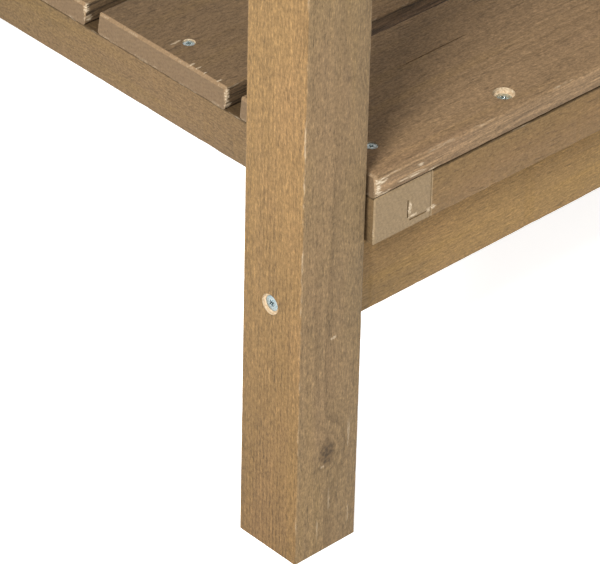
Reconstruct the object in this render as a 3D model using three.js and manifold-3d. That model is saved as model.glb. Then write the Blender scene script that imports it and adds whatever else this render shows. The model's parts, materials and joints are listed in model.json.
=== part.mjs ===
// Potting bench of sawn, brown-treated softwood, screwed together from separate boards.
// Millimetres. +X runs along the bench, +Y to its back and +Z up. The origin lies on the floor
// under the middle of the whole bench. Boards are laid out from the front face of the front legs
// (y = 0) and the middle of the bench (x = 0), and the group moves them to the origin at the end.
import * as THREE from "three";
import { mergeVertices } from "three/addons/utils/BufferGeometryUtils.js";
import Module from "manifold-3d";

const wasm = await Module();
wasm.setup();

// ---------------------------------------------------------------- driving dimensions

// Overall
const BENCH_WIDTH = 1100; // over the outer faces of the legs
const BENCH_DEPTH = 448; // front face of the front legs to back face of the back posts
const WORKTOP_HEIGHT = 850; // floor to the top of the worktop
const TOP_SHELF_HEIGHT = 1250; // floor to the top of the narrow upper shelf
const SHELF_HEIGHT = 233.5; // floor to the top of the lower shelf

// Timber sections
const LEG_SIDE = 45;
const LEG_ARRIS = 1.5; // small flat planed along the corners of legs and rails
const RAIL_THICKNESS = 29; // stretchers, aprons, side rails, bearer and brackets
const STRETCHER_HEIGHT = 50;
const APRON_HEIGHT = 70;
const BEARER_HEIGHT = 42;
const BATTEN_WIDTH = 42; // shelf end battens and middle batten
const BATTEN_HEIGHT = 29;
const EDGE_BATTEN_DEPTH = 30; // front and back battens of the lower shelf
const SLAT_THICKNESS = 14; // lower shelf, upper shelf and backboards
const SLAT_ROUNDING = 2;
const WORKTOP_THICKNESS = 18;

// Lower shelf, a framed panel that lies on the two stretchers
const SHELF_SLATS = 4;
const SHELF_SLAT_GAP = 11;
const SHELF_END_GAP = 3.25; // panel to the inner faces of the legs
const SHELF_PROUD = 3; // panel stands this far in front of the legs and behind the posts

// Worktop
const WORKTOP_SLATS = 4;
const WORKTOP_SLAT_GAP = 5;
const WORKTOP_OVERHANG = 20; // at the front and at both ends
const WORKTOP_POST_GAP = 3;

// Back and upper shelf
const BACKBOARDS = 2;
const BACKBOARD_WIDTH = 106;
const BACKBOARD_GAP = 10;
const BACKBOARD_LIFT = 4; // lowest backboard above the worktop
const TOP_SHELF_SLATS = 2;
const TOP_SHELF_SLAT_GAP = 10;
const TOP_SHELF_DEPTH = 160;
const TOP_RAIL_HEIGHT = 50;
const BRACKET_HEIGHT = 60; // at the post
const BRACKET_NOSE_HEIGHT = 25; // at its front end
const BRACKET_SETBACK = 10; // nose behind the front edge of the upper shelf

// Screws
const SCREW_SIDES = 12;
const SCREW_CLEARANCE = 0.3; // between a screw and the hole that it sits in
const HEAD_RADIUS = 4.5;
const SHANK_RADIUS = 2.25;
const SLAT_HEAD_RADIUS = 3.5;
const SLAT_SHANK_RADIUS = 1.75;
const RECESS_DEPTH = 1.6; // cross recess in the head
const RECESS_WIDTH = 1.2;
const COUNTERBORE_RADIUS = 6;
const LEG_COUNTERBORE = 1.25; // depth in a leg
const PANEL_COUNTERBORE = 2.75; // depth in a shelf slat
const FLUSH_SINK = 0.5; // head of a slat screw below the surface
const TIP_COVER = 6; // wood left under the tip of a slat screw
const PANEL_BITE = 28; // panel screw's length in the stretcher
const END_BITE = 35; // screw's length in the end grain of a rail
const LEG_SCREW_DROP = 4; // leg screw below the stretcher's centre line
const LEG_SCREW_INWARD = 1.25; // and inwards from the middle of the leg
const PANEL_SCREW_FROM_END = 109; // from the end of the slat
const PANEL_SCREW_COVER = 3.5; // from the outer face of the stretcher
const EDGE_SLAT_SCREW_INSET = 23.75; // from both edges of the front and back slats
const EDGE_SLAT_SCREW_OUTWARD = 1.25; // from the batten's centre to the end
const SINGLE_SCREW_OUTWARD = 4.5; // single slat screw, from the batten's centre to the end
const SINGLE_SCREW_FORWARD = 4.5; // and forward of the slat's centre line
const APRON_SCREW_BELOW_TOP = 20;
const SIDE_RAIL_SCREW_BELOW_TOP = 45;

// ---------------------------------------------------------------- materials

const wood = (name, color) => new THREE.MeshStandardMaterial({ name, color, roughness: 0.75, metalness: 0 });
const MATERIALS = {
  leg: wood("leg_wood", 0xa98758),
  rail: wood("rail_wood", 0xa58455),
  batten: wood("batten_wood", 0x977b58),
  slat: wood("slat_wood", 0x8b7152),
  zinc: new THREE.MeshStandardMaterial({ name: "zinc_screw", color: 0xb9bdbd, roughness: 0.35, metalness: 0.9 }),
};

// ---------------------------------------------------------------- shapes

// Faces that meet are put on one grid of exact binary numbers, so that they share a plane.
const GRID = 64;
const onGrid = (value) => Math.round(value * GRID) / GRID;

const AXES = ["x", "y", "z"];

// A rectangle with eased corners, from (0, 0) to (width, height).
function easedRectangle(width, height, easing, cornerSteps) {
  const radius = Math.min(easing, width / 3, height / 3);
  const outline = [];
  const corners = [
    [width - radius, radius, -0.5],
    [width - radius, height - radius, 0],
    [radius, height - radius, 0.5],
    [radius, radius, 1],
  ];
  for (const [cx, cy, start] of corners) {
    for (let step = 0; step <= cornerSteps; step++) {
      const angle = (start + (0.5 * step) / cornerSteps) * Math.PI;
      const onFlat = step === 0 || step === cornerSteps;
      const x = cx + radius * Math.cos(angle);
      const y = cy + radius * Math.sin(angle);
      outline.push(onFlat ? new THREE.Vector2(onGrid(x), onGrid(y)) : new THREE.Vector2(x, y));
    }
  }
  return new THREE.Shape(outline);
}

// Local axes of an extrusion (across, up, along) turned to the bench's axes by the grain's direction.
const GRAIN_TURN = {
  x: new THREE.Matrix4().set(0, 0, 1, 0, 1, 0, 0, 0, 0, 1, 0, 0, 0, 0, 0, 1),
  y: new THREE.Matrix4().set(0, 1, 0, 0, 0, 0, 1, 0, 1, 0, 0, 0, 0, 0, 0, 1),
  z: new THREE.Matrix4(),
};
const SECTION_AXES = { x: ["y", "z"], y: ["z", "x"], z: ["x", "y"] };

// A straight board between two corners, its long edges eased.
function boardGeometry(size, grain, easing, cornerSteps) {
  const [across, up] = SECTION_AXES[grain];
  const section = easedRectangle(size[across], size[up], easing, cornerSteps);
  const geometry = new THREE.ExtrudeGeometry(section, { depth: size[grain], bevelEnabled: false, steps: 1 });
  return geometry.applyMatrix4(GRAIN_TURN[grain]);
}

// A shelf bracket: full height at the post, sloping up to a low nose. Its outline is in (y, z).
function bracketGeometry(size) {
  const postReach = LEG_SIDE;
  const outline = [
    [size.y - postReach, 0],
    [size.y, 0],
    [size.y, size.z],
    [0, size.z],
    [0, size.z - BRACKET_NOSE_HEIGHT],
  ].map(([y, z]) => new THREE.Vector2(onGrid(y), onGrid(z)));
  const shape = new THREE.Shape(outline);
  const geometry = new THREE.ExtrudeGeometry(shape, { depth: size.x, bevelEnabled: false, steps: 1 });
  return geometry.applyMatrix4(GRAIN_TURN.x);
}

// Half outline of a countersunk screw, or with grow > 0 of the hole that it sits in.
function screwProfile(kind, grow) {
  const shank = kind.shankRadius + grow;
  const head = kind.headRadius + grow;
  const coneDepth = kind.headRadius - kind.shankRadius;
  const points = [
    [0, -kind.length - grow],
    [shank, -kind.length + shank - grow],
    [shank, -coneDepth - grow],
    [head, -grow],
  ];
  if (grow > 0) {
    const mouth = kind.counterbore > 0 ? COUNTERBORE_RADIUS : head;
    points.push([mouth, -grow], [mouth, kind.sink + 1], [0, kind.sink + 1]);
  } else {
    points.push([0, 0]);
  }
  return points
    .filter(([r, z], i) => i === 0 || r !== points[i - 1][0] || z !== points[i - 1][1])
    .map(([r, z]) => new THREE.Vector2(r, z));
}

// The profile stands along +Y in a lathe, and is turned so that the head faces +Z.
function turnedGeometry(kind, grow) {
  return new THREE.LatheGeometry(screwProfile(kind, grow), SCREW_SIDES).rotateX(Math.PI / 2);
}

// ---------------------------------------------------------------- booleans

function toManifold(geometry) {
  const bare = geometry.clone();
  bare.deleteAttribute("normal");
  bare.deleteAttribute("uv");
  const merged = mergeVertices(bare, 1e-5);
  const index = Array.from(merged.index.array);
  const triVerts = [];
  for (let i = 0; i < index.length; i += 3) {
    const [a, b, c] = index.slice(i, i + 3);
    if (a !== b && b !== c && c !== a) triVerts.push(a, b, c);
  }
  const vertProperties = new Float32Array(merged.attributes.position.array);
  return new wasm.Manifold(new wasm.Mesh({ numProp: 3, vertProperties, triVerts: new Uint32Array(triVerts) }));
}

function toGeometry(manifold) {
  const mesh = manifold.getMesh();
  const geometry = new THREE.BufferGeometry();
  geometry.setAttribute("position", new THREE.BufferAttribute(new Float32Array(mesh.vertProperties), 3));
  geometry.setIndex(new THREE.BufferAttribute(new Uint32Array(mesh.triVerts), 1));
  geometry.computeVertexNormals();
  return geometry;
}

// ---------------------------------------------------------------- boards

const boards = new Map();

function addBoard(name, material, grain, low, high, style = {}) {
  const min = new THREE.Vector3(...low.map(onGrid));
  const max = new THREE.Vector3(...high.map(onGrid));
  boards.set(name, { name, material, grain, min, max, holes: [], ...style });
}

const outerX = BENCH_WIDTH / 2;
const innerX = outerX - LEG_SIDE;
const railInset = (LEG_SIDE - RAIL_THICKNESS) / 2;
const worktopUnderside = WORKTOP_HEIGHT - WORKTOP_THICKNESS;
const topShelfUnderside = TOP_SHELF_HEIGHT - SLAT_THICKNESS;
const SIDES = [
  ["left", -1],
  ["right", 1],
];

// Low and high corners of a piece that spans x from near to far on one side of the middle.
function sided(sign, near, far, y0, y1, z0, z1) {
  const xs = [sign * near, sign * far].sort((a, b) => a - b);
  return [
    [xs[0], y0, z0],
    [xs[1], y1, z1],
  ];
}

for (const [side, sign] of SIDES) {
  const leg = sided(sign, innerX, outerX, 0, LEG_SIDE, 0, worktopUnderside);
  addBoard(`front_${side}_leg`, "leg", "z", ...leg);
  const post = sided(sign, innerX, outerX, BENCH_DEPTH - LEG_SIDE, BENCH_DEPTH, 0, topShelfUnderside);
  addBoard(`back_${side}_post`, "leg", "z", ...post);
}

// Lower shelf
const slatUnderside = SHELF_HEIGHT - SLAT_THICKNESS;
const battenUnderside = slatUnderside - BATTEN_HEIGHT;
const stretcherUnderside = battenUnderside - STRETCHER_HEIGHT;
const panelFront = -SHELF_PROUD;
const panelBack = BENCH_DEPTH + SHELF_PROUD;
const panelEndX = innerX - SHELF_END_GAP;
const endBattenX = panelEndX - BATTEN_WIDTH / 2;
const frontRail = [railInset, railInset + RAIL_THICKNESS];
const backRail = [BENCH_DEPTH - railInset - RAIL_THICKNESS, BENCH_DEPTH - railInset];

for (const [place, [y0, y1]] of [
  ["front", frontRail],
  ["back", backRail],
]) {
  const low = [-innerX, y0, stretcherUnderside];
  addBoard(`${place}_stretcher`, "rail", "x", low, [innerX, y1, battenUnderside]);
}
for (const [side, sign] of SIDES) {
  const near = panelEndX - BATTEN_WIDTH;
  const corners = sided(sign, near, panelEndX, panelFront, panelBack, battenUnderside, slatUnderside);
  addBoard(`shelf_end_batten_${side}`, "batten", "y", ...corners);
}
const battenSpanX = panelEndX - BATTEN_WIDTH;
const frontBattenBack = panelFront + EDGE_BATTEN_DEPTH;
const backBattenFront = panelBack - EDGE_BATTEN_DEPTH;
for (const [place, y0, y1] of [
  ["front", panelFront, frontBattenBack],
  ["back", backBattenFront, panelBack],
]) {
  const low = [-battenSpanX, y0, battenUnderside];
  addBoard(`shelf_${place}_batten`, "batten", "x", low, [battenSpanX, y1, slatUnderside]);
}
addBoard(
  "shelf_middle_batten",
  "batten",
  "y",
  [-BATTEN_WIDTH / 2, frontBattenBack, battenUnderside],
  [BATTEN_WIDTH / 2, backBattenFront, slatUnderside],
);

// Boards side by side between two depths, with even gaps: the low and high y of each.
function spread(count, gap, from, to) {
  const width = (to - from - (count - 1) * gap) / count;
  return Array.from({ length: count }, (_, i) => {
    const y0 = from + i * (width + gap);
    return [y0, y0 + width];
  });
}

const slatStyle = { easing: SLAT_ROUNDING, cornerSteps: 3 };
const shelfSlats = spread(SHELF_SLATS, SHELF_SLAT_GAP, panelFront, panelBack);
shelfSlats.forEach(([y0, y1], i) => {
  const low = [-panelEndX, y0, slatUnderside];
  addBoard(`shelf_slat_${i + 1}`, "slat", "x", low, [panelEndX, y1, SHELF_HEIGHT], slatStyle);
});

// Worktop frame and worktop
const apronUnderside = worktopUnderside - APRON_HEIGHT;
for (const [place, [y0, y1]] of [
  ["front", frontRail],
  ["back", backRail],
]) {
  addBoard(`${place}_apron`, "rail", "x", [-innerX, y0, apronUnderside], [innerX, y1, worktopUnderside]);
}
const worktopBack = BENCH_DEPTH - LEG_SIDE - WORKTOP_POST_GAP;
for (const [side, sign] of SIDES) {
  const near = innerX + railInset;
  const far = outerX - railInset;
  const y1 = BENCH_DEPTH - LEG_SIDE;
  const corners = sided(sign, near, far, LEG_SIDE, y1, apronUnderside, worktopUnderside);
  addBoard(`${side}_side_rail`, "rail", "y", ...corners);
}
addBoard(
  "worktop_bearer",
  "rail",
  "y",
  [-RAIL_THICKNESS / 2, frontRail[1], worktopUnderside - BEARER_HEIGHT],
  [RAIL_THICKNESS / 2, backRail[0], worktopUnderside],
);
const worktopEndX = outerX + WORKTOP_OVERHANG;
const worktopSlats = spread(WORKTOP_SLATS, WORKTOP_SLAT_GAP, -WORKTOP_OVERHANG, worktopBack);
worktopSlats.forEach(([y0, y1], i) => {
  const low = [-worktopEndX, y0, worktopUnderside];
  addBoard(`worktop_slat_${i + 1}`, "slat", "x", low, [worktopEndX, y1, WORKTOP_HEIGHT], slatStyle);
});

// Back and upper shelf
for (let i = 0; i < BACKBOARDS; i++) {
  const z0 = WORKTOP_HEIGHT + BACKBOARD_LIFT + i * (BACKBOARD_WIDTH + BACKBOARD_GAP);
  const y1 = BENCH_DEPTH - LEG_SIDE;
  const low = [-outerX, y1 - SLAT_THICKNESS, z0];
  addBoard(`backboard_${i + 1}`, "slat", "x", low, [outerX, y1, z0 + BACKBOARD_WIDTH], slatStyle);
}
const topShelfFront = panelBack - TOP_SHELF_DEPTH;
const bracketInnerX = innerX - RAIL_THICKNESS;
for (const [side, sign] of SIDES) {
  const y0 = topShelfFront + BRACKET_SETBACK;
  const z0 = topShelfUnderside - BRACKET_HEIGHT;
  const corners = sided(sign, bracketInnerX, innerX, y0, BENCH_DEPTH, z0, topShelfUnderside);
  addBoard(`top_shelf_bracket_${side}`, "rail", "y", ...corners, { shape: bracketGeometry });
}
addBoard(
  "top_shelf_rail",
  "rail",
  "x",
  [-bracketInnerX, backRail[0], topShelfUnderside - TOP_RAIL_HEIGHT],
  [bracketInnerX, backRail[1], topShelfUnderside],
);
spread(TOP_SHELF_SLATS, TOP_SHELF_SLAT_GAP, topShelfFront, panelBack).forEach(([y0, y1], i) => {
  const low = [-worktopEndX, y0, topShelfUnderside];
  addBoard(`top_shelf_slat_${i + 1}`, "slat", "x", low, [worktopEndX, y1, TOP_SHELF_HEIGHT], slatStyle);
});

// ---------------------------------------------------------------- screws

const frameKind = {
  headRadius: HEAD_RADIUS,
  shankRadius: SHANK_RADIUS,
  length: LEG_SIDE - LEG_COUNTERBORE + END_BITE,
  sink: LEG_COUNTERBORE,
  counterbore: LEG_COUNTERBORE,
};
const panelKind = {
  headRadius: HEAD_RADIUS,
  shankRadius: SHANK_RADIUS,
  length: SLAT_THICKNESS - PANEL_COUNTERBORE + BATTEN_HEIGHT + PANEL_BITE,
  sink: PANEL_COUNTERBORE,
  counterbore: PANEL_COUNTERBORE,
};
const slatKind = {
  headRadius: SLAT_HEAD_RADIUS,
  shankRadius: SLAT_SHANK_RADIUS,
  length: SLAT_THICKNESS - FLUSH_SINK + BATTEN_HEIGHT - TIP_COVER,
  sink: FLUSH_SINK,
  counterbore: 0,
};

const screws = [];

// A screw whose head faces `outward` from a point on the face of the first board it goes through.
function addScrew(name, kind, facePoint, outward, through) {
  const direction = new THREE.Vector3(...outward);
  const position = new THREE.Vector3(...facePoint).addScaledVector(direction, -kind.sink);
  const turn = new THREE.Quaternion().setFromUnitVectors(new THREE.Vector3(0, 0, 1), direction);
  screws.push({ name, kind, position, turn });
  for (const boardName of through) boards.get(boardName).holes.push({ kind, position, turn });
}

const stretcherMiddle = stretcherUnderside + STRETCHER_HEIGHT / 2;
const apronScrewHeight = worktopUnderside - APRON_SCREW_BELOW_TOP;
const sideRailScrewHeight = worktopUnderside - SIDE_RAIL_SCREW_BELOW_TOP;
const PLACES = [
  ["front", "leg", 0, 1],
  ["back", "post", BENCH_DEPTH, -1],
];
for (const [side, sign] of SIDES) {
  for (const [place, upright, faceY, inward] of PLACES) {
    const leg = `${place}_${side}_${upright}`;
    const corner = `${place}_${side}`;
    const middleY = faceY + (inward * LEG_SIDE) / 2;

    const screwY = middleY + inward * LEG_SCREW_INWARD;
    const low = [sign * outerX, screwY, stretcherMiddle - LEG_SCREW_DROP];
    addScrew(`stretcher_screw_${corner}`, frameKind, low, [sign, 0, 0], [leg, `${place}_stretcher`]);

    const high = [sign * outerX, middleY, apronScrewHeight];
    addScrew(`apron_screw_${corner}`, frameKind, high, [sign, 0, 0], [leg, `${place}_apron`]);

    const face = [sign * (outerX - LEG_SIDE / 2), faceY, sideRailScrewHeight];
    addScrew(`side_rail_screw_${corner}`, frameKind, face, [0, -inward, 0], [leg, `${side}_side_rail`]);

    const panelX = sign * (panelEndX - PANEL_SCREW_FROM_END);
    const panelY = faceY + inward * (railInset + PANEL_SCREW_COVER);
    const slat = `shelf_slat_${place === "front" ? 1 : SHELF_SLATS}`;
    const stack = [slat, `shelf_${place}_batten`, `${place}_stretcher`];
    addScrew(`panel_screw_${corner}`, panelKind, [panelX, panelY, SHELF_HEIGHT], [0, 0, 1], stack);
  }
}

// Two screws in the front and back slats, and one in each slat between them, at each end batten.
for (const [side, sign] of SIDES) {
  shelfSlats.forEach(([y0, y1], i) => {
    const outermost = i === 0 || i === SHELF_SLATS - 1;
    const pair = [y0 + EDGE_SLAT_SCREW_INSET, y1 - EDGE_SLAT_SCREW_INSET];
    const places = outermost ? pair : [(y0 + y1) / 2 - SINGLE_SCREW_FORWARD];
    const x = sign * (endBattenX + (outermost ? EDGE_SLAT_SCREW_OUTWARD : SINGLE_SCREW_OUTWARD));
    places.forEach((y, j) => {
      const name = `slat_screw_${side}_${i + 1}${outermost ? "ab"[j] : ""}`;
      const through = [`shelf_slat_${i + 1}`, `shelf_end_batten_${side}`];
      addScrew(name, slatKind, [x, y, SHELF_HEIGHT], [0, 0, 1], through);
    });
  });
}

// ---------------------------------------------------------------- the bench

function boardMesh(board) {
  const size = board.max.clone().sub(board.min);
  const easing = board.easing ?? LEG_ARRIS;
  const plain = board.shape ? board.shape(size) : boardGeometry(size, board.grain, easing, board.cornerSteps ?? 1);
  let solid = toManifold(plain);
  for (const { kind, position, turn } of board.holes) {
    const local = position.clone().sub(board.min);
    const place = new THREE.Matrix4().compose(local, turn, new THREE.Vector3(1, 1, 1));
    solid = solid.subtract(toManifold(turnedGeometry(kind, SCREW_CLEARANCE).applyMatrix4(place)));
  }
  const mesh = new THREE.Mesh(toGeometry(solid), MATERIALS[board.material]);
  mesh.name = board.name;
  mesh.position.copy(board.min);
  return mesh;
}

// A countersunk screw with a cross recess in its head.
const screwGeometries = new Map();
function screwGeometry(kind) {
  if (!screwGeometries.has(kind)) {
    let solid = toManifold(turnedGeometry(kind, 0));
    const armLength = kind.headRadius * 1.2;
    for (const [x, y] of [
      [armLength, RECESS_WIDTH],
      [RECESS_WIDTH, armLength],
    ]) {
      solid = solid.subtract(toManifold(new THREE.BoxGeometry(x, y, 2 * RECESS_DEPTH)));
    }
    screwGeometries.set(kind, toGeometry(solid));
  }
  return screwGeometries.get(kind);
}

function screwMesh({ name, kind, position, turn }) {
  const mesh = new THREE.Mesh(screwGeometry(kind), MATERIALS.zinc);
  mesh.name = name;
  mesh.position.copy(position);
  mesh.quaternion.copy(turn);
  return mesh;
}

const bench = new THREE.Group();
for (const board of boards.values()) bench.add(boardMesh(board));
for (const screw of screws) bench.add(screwMesh(screw));
bench.position.y = -onGrid((-WORKTOP_OVERHANG + panelBack) / 2);

export default bench;
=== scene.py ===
"""Potting bench in sawn, brown-treated softwood: every board and screw as a finished piece."""

import json
import math
import random
from dataclasses import dataclass

import bpy
from bpy.props import FloatProperty, FloatVectorProperty, IntProperty, PointerProperty
from mathutils import Matrix, Vector


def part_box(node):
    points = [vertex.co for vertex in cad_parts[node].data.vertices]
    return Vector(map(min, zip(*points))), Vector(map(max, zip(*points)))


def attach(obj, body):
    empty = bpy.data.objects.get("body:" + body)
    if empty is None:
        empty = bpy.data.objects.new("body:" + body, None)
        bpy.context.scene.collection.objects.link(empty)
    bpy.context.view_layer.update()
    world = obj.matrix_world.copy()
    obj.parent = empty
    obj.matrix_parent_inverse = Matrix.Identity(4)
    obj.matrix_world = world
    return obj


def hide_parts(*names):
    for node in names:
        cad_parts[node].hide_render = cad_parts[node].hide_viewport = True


bl_info = {
    "name": "Potting Bench",
    "version": (1, 0, 0),
    "blender": (4, 5, 0),
    "location": "3D Viewport > Sidebar > Bench",
    "description": "Builds a slatted potting bench from rough sawn boards and zinc screws",
    "category": "Add Mesh",
}

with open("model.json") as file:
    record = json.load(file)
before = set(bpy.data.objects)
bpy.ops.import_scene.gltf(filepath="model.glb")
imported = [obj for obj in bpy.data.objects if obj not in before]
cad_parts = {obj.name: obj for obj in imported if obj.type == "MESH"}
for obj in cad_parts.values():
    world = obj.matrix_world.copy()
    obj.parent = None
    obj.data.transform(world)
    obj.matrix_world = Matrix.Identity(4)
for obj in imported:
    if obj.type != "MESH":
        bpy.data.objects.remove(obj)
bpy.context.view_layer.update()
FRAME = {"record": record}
MM = 0.001

SLOTS = {part["node"]: part["material_slot"] for part in FRAME["record"]["subparts"]}
BOARD_NAMES = sorted(node for node, slot in SLOTS.items() if slot != "zinc_screw")
BOX = {name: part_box(name) for name in BOARD_NAMES}
SIDES = (("left", -1), ("right", 1))
ENDS = (("front", "leg", -1), ("back", "post", 1))
INDEX = {"x": 0, "y": 1, "z": 2}
AXIS = {"x": Vector((1, 0, 0)), "y": Vector((0, 1, 0)), "z": Vector((0, 0, 1))}

# Outer bottom corner of the front left leg, from which the marks near it are placed.
CORNER = Vector(BOX["front_left_leg"][0])


def from_corner(x, y, z):
    """A place given in millimetres from the outer bottom corner of the front left leg."""
    return CORNER + Vector((x, y, z)) * MM


def middle_of(name):
    low, high = BOX[name]
    return (low + high) / 2


def boards_like(*starts):
    """The boards whose name or finish starts with one of the given words."""
    return [name for name in BOARD_NAMES if name.startswith(starts) or SLOTS[name].startswith(starts)]


def srgb(*channels):
    """A colour as seen on a screen, from 0 to 255, turned to the linear values that shaders use."""
    shares = [channel / 255 for channel in channels]
    return tuple(c / 12.92 if c <= 0.04045 else ((c + 0.055) / 1.055) ** 2.4 for c in shares)


def tinted(colour, tint):
    return tuple(channel * factor for channel, factor in zip(colour, tint))


# ---------------------------------------------------------------- sizes and colours


def colour_property(name, description, red, green, blue):
    return FloatVectorProperty(
        name=name,
        description=description,
        subtype="COLOR",
        size=3,
        min=0,
        max=1,
        default=srgb(red, green, blue),
    )


def length_property(name, description, millimetres):
    return FloatProperty(
        name=name,
        description=description,
        subtype="DISTANCE",
        unit="LENGTH",
        min=0,
        precision=4,
        default=millimetres * MM,
    )


def number_property(name, description, number, least=0):
    return FloatProperty(name=name, description=description, min=least, default=number)


class BenchTimber(bpy.types.PropertyGroup):
    """Sizes of the boards' edges and marks."""

    slat_rounding: length_property("Slat rounding", "Radius of the long edges of slats", 2.0)
    leg_arris: length_property("Leg arris", "Radius of the long edges of legs and posts", 1.2)
    rail_arris: length_property("Rail arris", "Radius of the long edges of rails and battens", 0.9)
    slat_end: length_property("Slat end", "Chamfer along the top of a slat's sawn end", 1.6)
    end_arris: length_property("End arris", "Chamfer round the sawn end of every other board", 0.8)
    chip_depth: length_property("Chip depth", "Deepest chip along an edge", 0.45)
    chip_size: length_property("Chip size", "Usual length of a chip along an edge", 7.0)
    slice_length: length_property("Slice length", "Spacing of the cuts along a board", 2.5)


class BenchFixings(bpy.types.PropertyGroup):
    """Sizes of the screws' holes."""

    counterbore_radius: length_property("Counterbore radius", "Radius of a drilled counterbore", 6.1)
    slat_hole_radius: length_property("Slat hole radius", "Mouth of the hole round a slat screw", 3.7)
    hole_clearance: length_property("Hole clearance", "Gap round a screw in its hole", 0.3)
    turned_sides: IntProperty(
        name="Turned sides", description="Sides of a screw head and its hole", min=12, max=96, default=36
    )


class BenchColours(bpy.types.PropertyGroup):
    """Colours of the finishes."""

    leg: colour_property("Legs", "Legs and posts, golden brown", 119, 98, 68)
    rail: colour_property("Rails", "Stretchers and aprons, golden brown", 130, 103, 62)
    batten: colour_property("Battens", "Shelf battens, grey brown", 115, 91, 58)
    slat: colour_property("Slats", "Slats and backboards, dark brown", 128, 104, 76)
    raw: colour_property("Raw wood", "Wood bared by a drill or a chip", 206, 189, 163)
    # Two copies of one zinc: the darker for the screws in the sides of the frame, which face the key light,
    # and the lighter for the shelf, worktop and backboard screws, painted shine standing in for brighter
    # reflections on their heads.
    zinc: colour_property("Zinc", "Plated frame screws", 168, 178, 180)
    bright_zinc: colour_property("Bright zinc", "Plated shelf and worktop screws", 226, 230, 228)


class BenchStage(bpy.types.PropertyGroup):
    """Light, floor and camera."""

    key_power: number_property("Key power", "Large light at the front left", 150)
    fill: number_property("Fill", "Even light from all round", 0.62)
    floor_glow: number_property("Floor glow", "Light from the floor itself", 0.74)
    camera_lens: number_property("Lens", "Focal length in millimetres", 244.5, 10)


# ---------------------------------------------------------------- finishes


class Shader:
    """A material's node tree, with short calls for the nodes that the finishes use."""

    def __init__(self, name):
        self.material = bpy.data.materials.new(name)
        self.material.use_nodes = True
        self.nodes = self.material.node_tree.nodes
        self.links = self.material.node_tree.links
        self.nodes.clear()

    def add(self, kind, inputs=None, **settings):
        node = self.nodes.new("ShaderNode" + kind)
        for key, value in settings.items():
            setattr(node, key, value)
        for socket, value in (inputs or {}).items():
            if isinstance(value, bpy.types.NodeSocket):
                self.links.new(value, node.inputs[socket])
            else:
                node.inputs[socket].default_value = value
        return node

    def math(self, operation, *values, clamp=False):
        return self.add("Math", dict(enumerate(values)), operation=operation, use_clamp=clamp).outputs[0]

    def product(self, first, *others):
        for other in others:
            first = self.math("MULTIPLY", first, other)
        return first

    def scale_add(self, value, factor, added):
        return self.math("MULTIPLY_ADD", value, factor, added)

    def inverse(self, value):
        """0 where the value is 1, and 1 where it is 0."""
        return self.math("SUBTRACT", 1.0, value)

    def vector(self, operation, *values):
        node = self.add("VectorMath", dict(enumerate(values)), operation=operation)
        return node.outputs["Value" if operation == "LENGTH" else "Vector"]

    def scale(self, vector, factor):
        return self.add("VectorMath", {0: vector, "Scale": factor}, operation="SCALE").outputs["Vector"]

    def split(self, vector):
        return self.add("SeparateXYZ", {0: vector}).outputs

    def facing(self, axis, normal="Normal"):
        """1 on faces that look along an axis, either way, and 0 on those that lie along it."""
        parts = self.split(self.add("NewGeometry").outputs[normal])
        return self.math("ABSOLUTE", parts[INDEX[axis]])

    def noise(self, vector, cells, detail, seed, roughness=0.5):
        """Noise whose cells per metre are given along each axis."""
        moved = self.vector("MULTIPLY_ADD", vector, cells, (seed * 1.7, seed * 2.3, seed * 3.1))
        inputs = {"Vector": moved, "Scale": 1.0, "Detail": detail, "Roughness": roughness}
        return self.add("TexNoise", inputs).outputs[0]

    def step(self, value, low, high):
        """0 below low, 1 above high and smooth between them."""
        inputs = {0: value, 1: low, 2: high, 3: 0.0, 4: 1.0}
        return self.add("MapRange", inputs, interpolation_type="SMOOTHSTEP", clamp=True).outputs[0]

    def around(self, value, amount):
        """Turns noise about 0.5 into a factor about 1."""
        return self.scale_add(value, 2 * amount, 1 - amount)

    def mix(self, factor, first, second):
        return self.add("Mix", {0: factor, 2: first, 3: second}).outputs[0]

    def blend(self, factor, *colours):
        """Mixes two colours, each a socket or three numbers."""
        first, second = (c if isinstance(c, bpy.types.NodeSocket) else (*c, 1) for c in colours)
        return self.add("Mix", {0: factor, 6: first, 7: second}, data_type="RGBA").outputs[2]

    def finish(self, colour, roughness, bump, strength, depth, metallic=0.0, specular=0.35):
        normal = self.add("Bump", {"Height": bump, "Strength": strength, "Distance": depth}).outputs[0]
        inputs = {"Base Color": colour, "Roughness": roughness, "Normal": normal}
        inputs |= {"Metallic": metallic, "Specular IOR Level": specular}
        surface = self.add("BsdfPrincipled", inputs).outputs[0]
        self.add("OutputMaterial", {"Surface": surface})
        return self.material


@dataclass
class Finish:
    """How the wood of one family of boards looks; tints multiply its colour."""

    colour: str
    ring_contrast: float = 0.05
    fibre_contrast: float = 0.55
    streak_contrast: float = 0.12
    mottle: float = 0.05
    end_shine: float = 0.05
    end_tint: tuple = (1.1, 1.1, 1.2)
    side_tint: tuple = (1.0, 1.0, 1.0)
    # The x faces' tint at the floor: on the legs darker, painted shade for the side light falling off there.
    floor_shade_tint: tuple = (1.0, 1.0, 1.0)


FINISHES = {
    "leg_wood": Finish(
        "leg",
        ring_contrast=0.22,
        fibre_contrast=0.9,
        streak_contrast=0.22,
        side_tint=(1.19, 1.08, 0.88),
        floor_shade_tint=(0.92, 0.83, 0.69),
    ),
    "rail_wood": Finish("rail", ring_contrast=0.06, fibre_contrast=0.7),
    "batten_wood": Finish(
        "batten",
        fibre_contrast=0.36,
        end_tint=(1.27, 1.48, 2.02),
        side_tint=(0.87, 0.92, 1.02),
        floor_shade_tint=(0.87, 0.92, 1.02),
    ),
    "slat_wood": Finish("slat", ring_contrast=0.09, mottle=0.03, end_shine=0.5, end_tint=(0.71, 0.72, 0.74)),
}

# How light each board of a batch came out: a range, and the boards that are set one by one.
BATCH_TONE = (0.84, 1.04)
BOARD_TONE = {"shelf_slat_1": 1.0, "shelf_slat_2": 0.96, "shelf_slat_3": 0.90, "front_stretcher": 0.96}
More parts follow.
